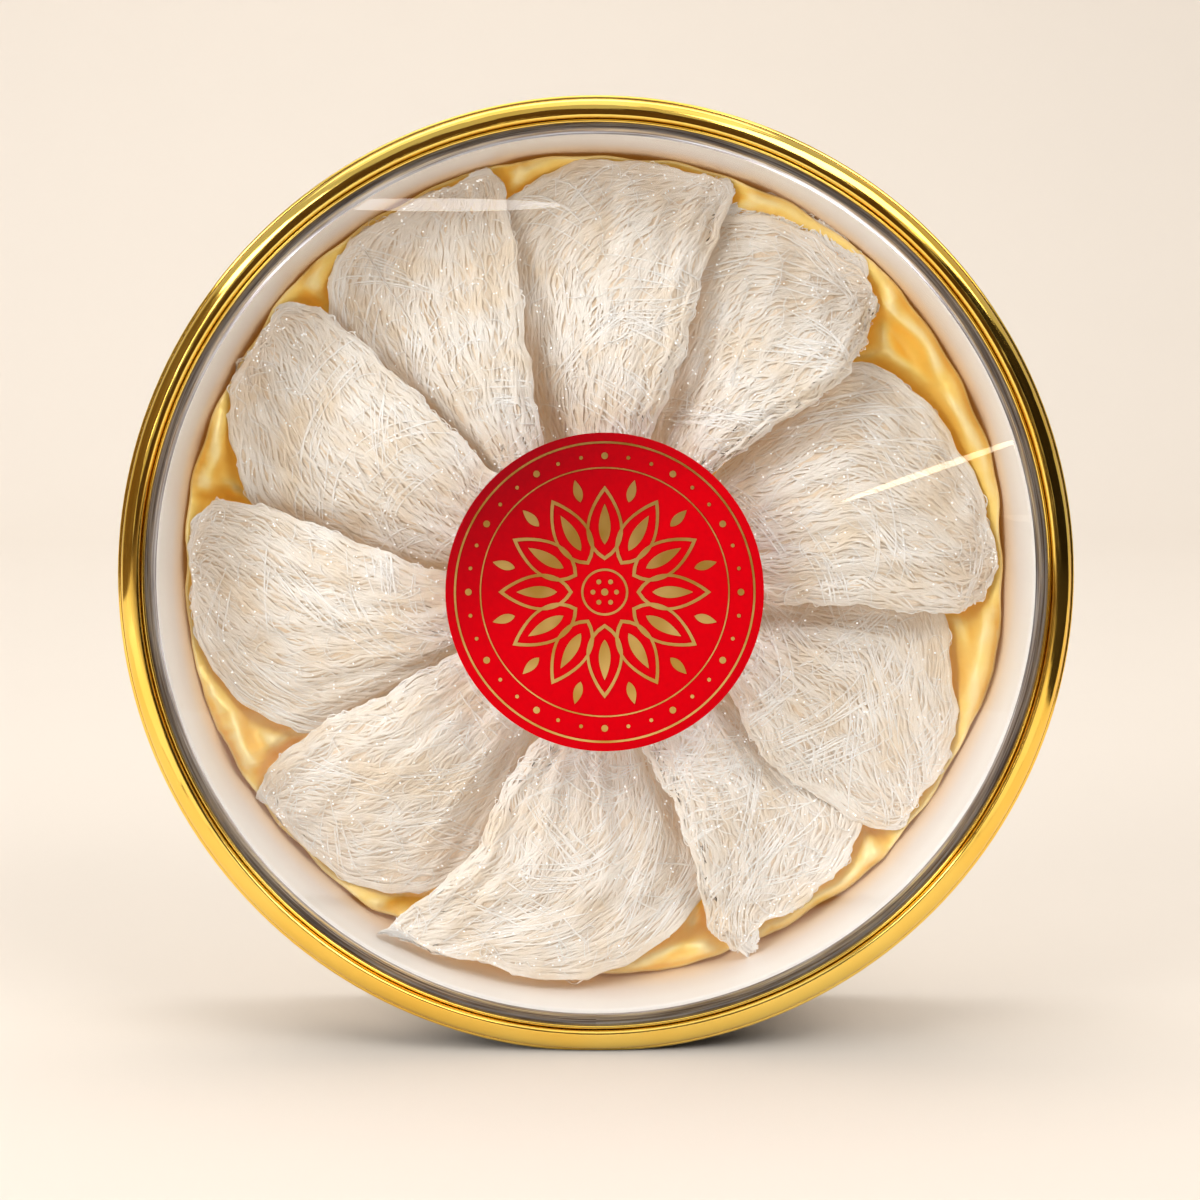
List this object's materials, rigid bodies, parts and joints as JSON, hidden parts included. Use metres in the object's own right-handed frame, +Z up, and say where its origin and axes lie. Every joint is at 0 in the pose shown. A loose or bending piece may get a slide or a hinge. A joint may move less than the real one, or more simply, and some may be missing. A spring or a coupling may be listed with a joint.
{
  "type": "edible birds nest",
  "caption": "Shell-shaped edible nests overlapping in a ring in a round white tray with satin, gold-plated rim, clear window and red seal",
  "frame": {"origin": "centre of the footprint on the surface that the box stands on", "axes": "+Z up, the box's axis along Y with the clear lid facing -Y, +X to the right seen from the front"},
  "size_m": [0.2116, 0.0499, 0.2114],
  "materials": {
    "gold_plating": "bright gold plating on plastic",
    "clear_plastic": "clear polished plastic",
    "white_plastic": "warm white, glossy moulded",
    "satin": "yellow-gold satin, wrinkled",
    "nest": "dried translucent ivory strands",
    "seal_paper": "red seal paper with a fine satin tooth",
    "gold_foil": "stamped gold foil"
  },
  "bodies": {
    "root": {"gold_rim": "gold_plating", "lid_window": "clear_plastic", "tray": "white_plastic", "satin_lining": "satin", "nest_1": "nest", "nest_2": "nest", "nest_3": "nest", "nest_4": "nest", "nest_5": "nest", "nest_6": "nest", "nest_7": "nest", "nest_8": "nest", "nest_9": "nest", "nest_10": "nest", "seal_label": "seal_paper", "seal_border": "gold_foil", "seal_rosette": "gold_foil"}
  },
  "joints": []
}
